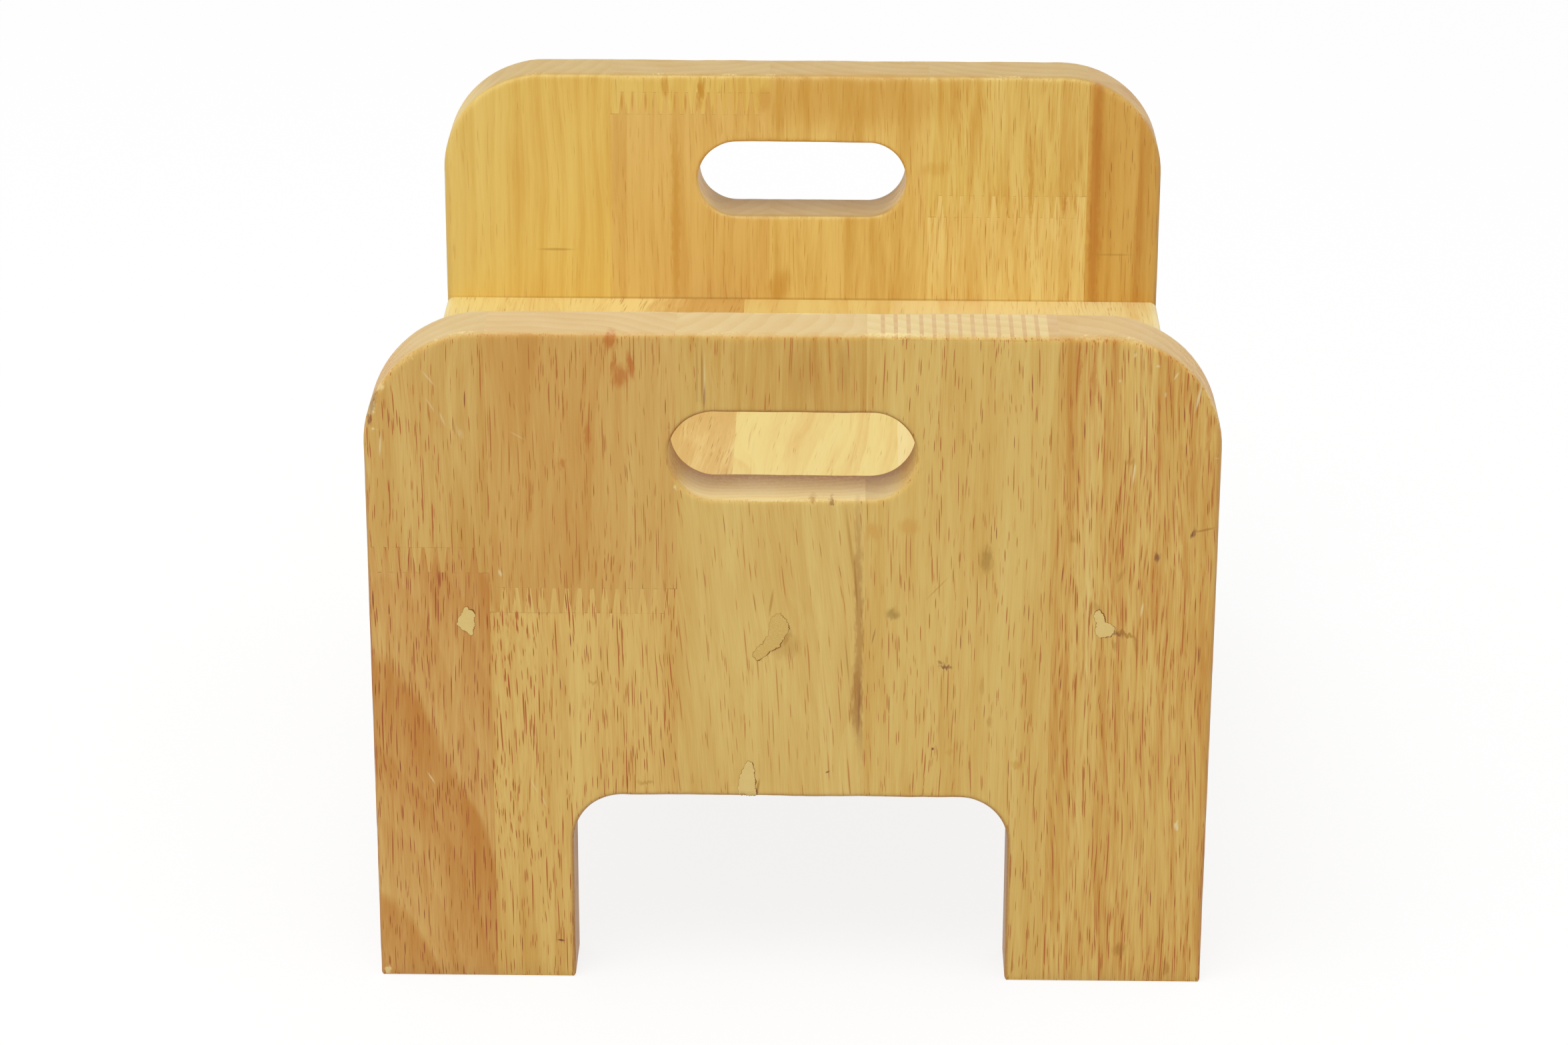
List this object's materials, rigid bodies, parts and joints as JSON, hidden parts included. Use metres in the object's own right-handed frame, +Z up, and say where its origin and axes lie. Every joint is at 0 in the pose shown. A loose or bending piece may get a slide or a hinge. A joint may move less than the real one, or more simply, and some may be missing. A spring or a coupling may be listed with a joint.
{
  "type": "bench stool",
  "caption": "Low bench stool of edge-glued hardwood: slotted, arched end panels carry a flat board seat between them, for a child to sit on or step up on.",
  "frame": {"origin": "on the floor plane, under the middle of the stool", "axes": "+Z up, +Y from the front end panel to the back end panel, +X to the right seen from the front"},
  "size_m": [0.3, 0.35, 0.25],
  "materials": {
    "panel_wood_tan": "satin lacquer",
    "panel_wood_brown": "satin lacquer",
    "seat_wood": "satin lacquer",
    "filler": "matte wood filler",
    "screw_steel": "zinc plated"
  },
  "bodies": {
    "root": {"arch_filler": "filler", "back_screw_plugs": "filler", "back_screws": "screw_steel", "back_stave_1": "panel_wood_tan", "back_stave_2_lower": "panel_wood_brown", "back_stave_2_upper": "panel_wood_tan", "back_stave_3": "panel_wood_tan", "back_stave_4_lower": "panel_wood_tan", "back_stave_4_upper": "panel_wood_tan", "back_stave_5": "panel_wood_brown", "front_screw_plugs": "filler", "front_screws": "screw_steel", "front_stave_1_lower": "panel_wood_brown", "front_stave_1_upper": "panel_wood_tan", "front_stave_2_lower": "panel_wood_tan", "front_stave_2_upper": "panel_wood_brown", "front_stave_3_lower": "panel_wood_tan", "front_stave_3_upper": "panel_wood_tan", "front_stave_4_lower": "panel_wood_tan", "front_stave_4_upper": "panel_wood_tan", "front_stave_5": "panel_wood_tan", "seat_stave_1": "seat_wood", "seat_stave_2": "seat_wood", "seat_stave_3": "seat_wood", "seat_stave_4": "seat_wood", "seat_stave_5": "seat_wood"}
  },
  "joints": []
}
